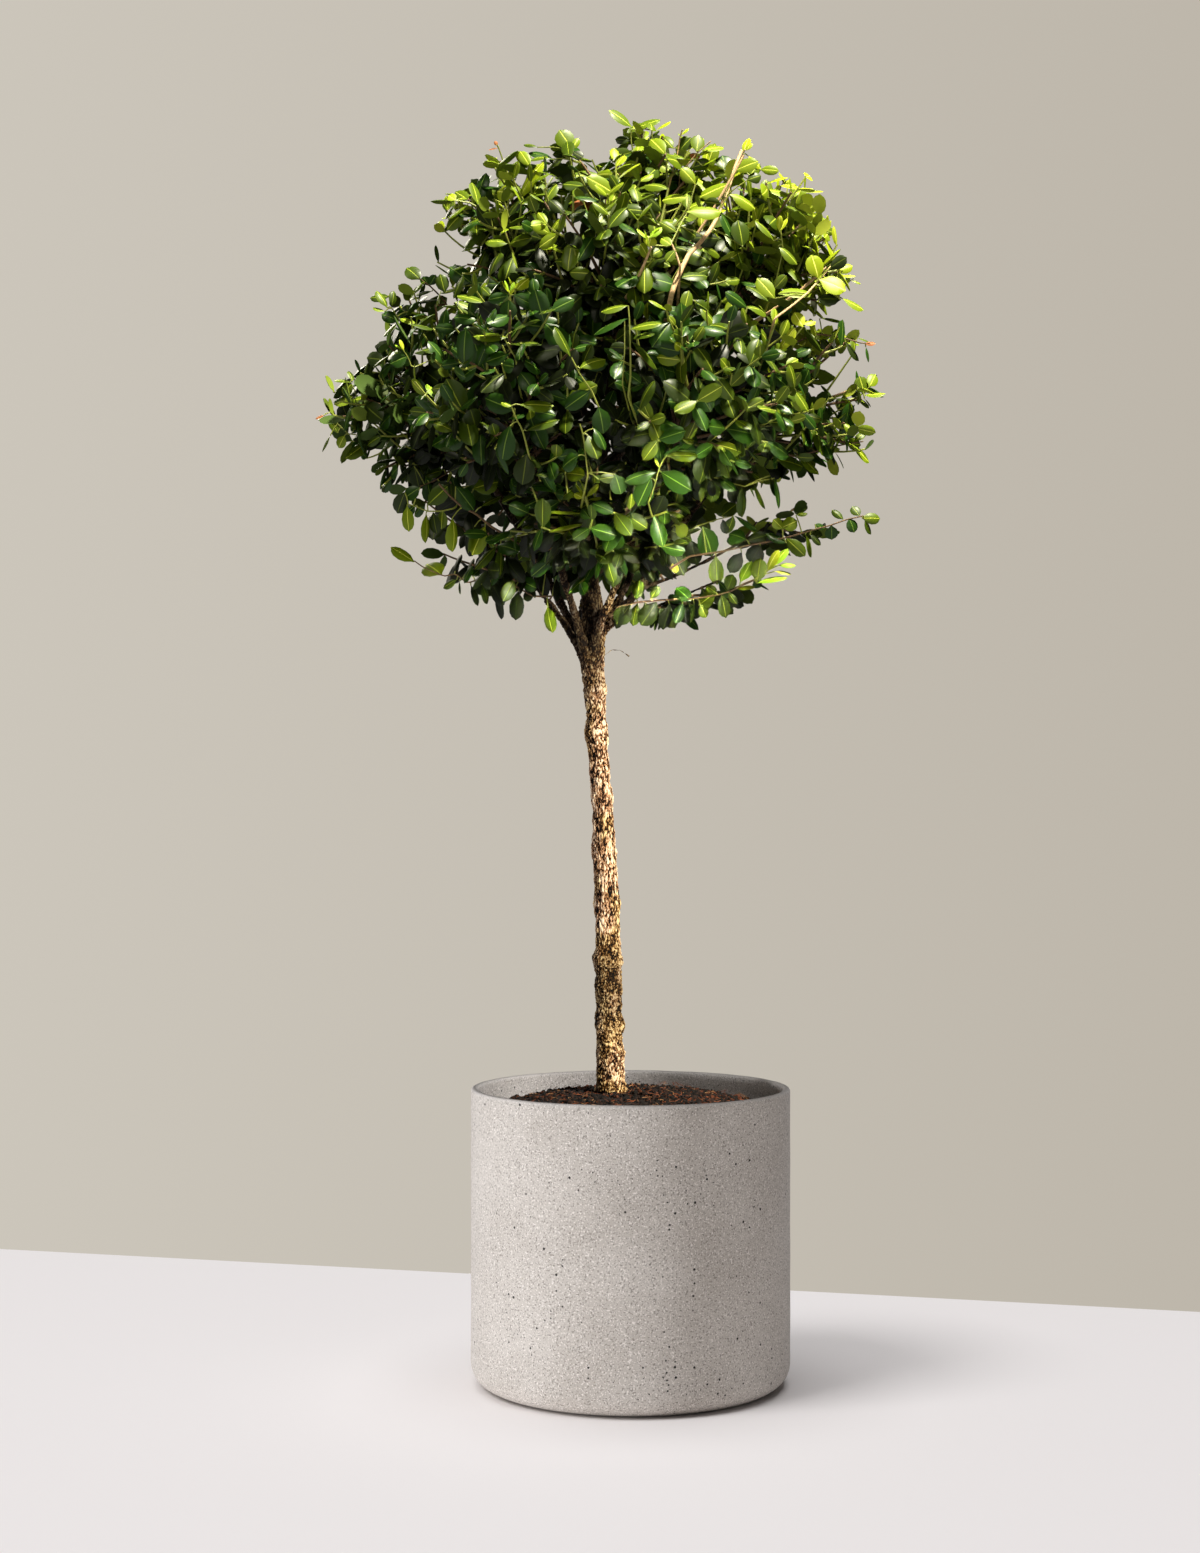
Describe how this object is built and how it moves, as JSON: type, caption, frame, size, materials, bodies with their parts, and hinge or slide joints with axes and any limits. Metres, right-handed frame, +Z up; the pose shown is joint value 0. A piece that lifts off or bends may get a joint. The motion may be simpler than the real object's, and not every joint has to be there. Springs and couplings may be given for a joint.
{
  "type": "potted boxwood ball topiary",
  "caption": "Boxwood standard with a bare gnarled trunk and a loosely clipped round crown of small glossy leaves, in a plain round concrete pot that stands on its flat base.",
  "frame": {"origin": "centre of the pot's flat underside", "axes": "+Z up along the pot's axis; -Y is the side the plant is seen from, so +X is to the viewer's right; the trunk leans towards -X as it rises"},
  "size_m": [0.4848, 0.4147, 1.0765],
  "materials": {
    "concrete": "matte",
    "compost": "matte",
    "bark": "matte",
    "foliage": "satin"
  },
  "bodies": {
    "root": {"pot": "concrete", "soil": "compost", "trunk": "bark", "bough_top": "bark", "bough_left_low": "bark", "bough_left": "bark", "bough_right": "bark", "bough_back_left": "bark", "bough_back_right": "bark", "bough_front_left": "bark", "bough_front_right": "bark", "bough_upper_left": "bark", "bough_upper_right": "bark", "bough_upper_front": "bark", "bough_upper_back": "bark", "bough_right_spray": "bark", "bough_right_low": "bark", "bough_front_low": "bark", "bough_back_low": "bark", "mass_top": "foliage", "mass_left_low": "foliage", "mass_left": "foliage", "mass_right": "foliage", "mass_back_left": "foliage", "mass_back_right": "foliage", "mass_front_left": "foliage", "mass_front_right": "foliage", "mass_upper_left": "foliage", "mass_upper_right": "foliage", "mass_upper_front": "foliage", "mass_upper_back": "foliage", "mass_right_spray": "foliage", "mass_right_low": "foliage", "mass_front_low": "foliage", "mass_back_low": "foliage"}
  },
  "joints": []
}
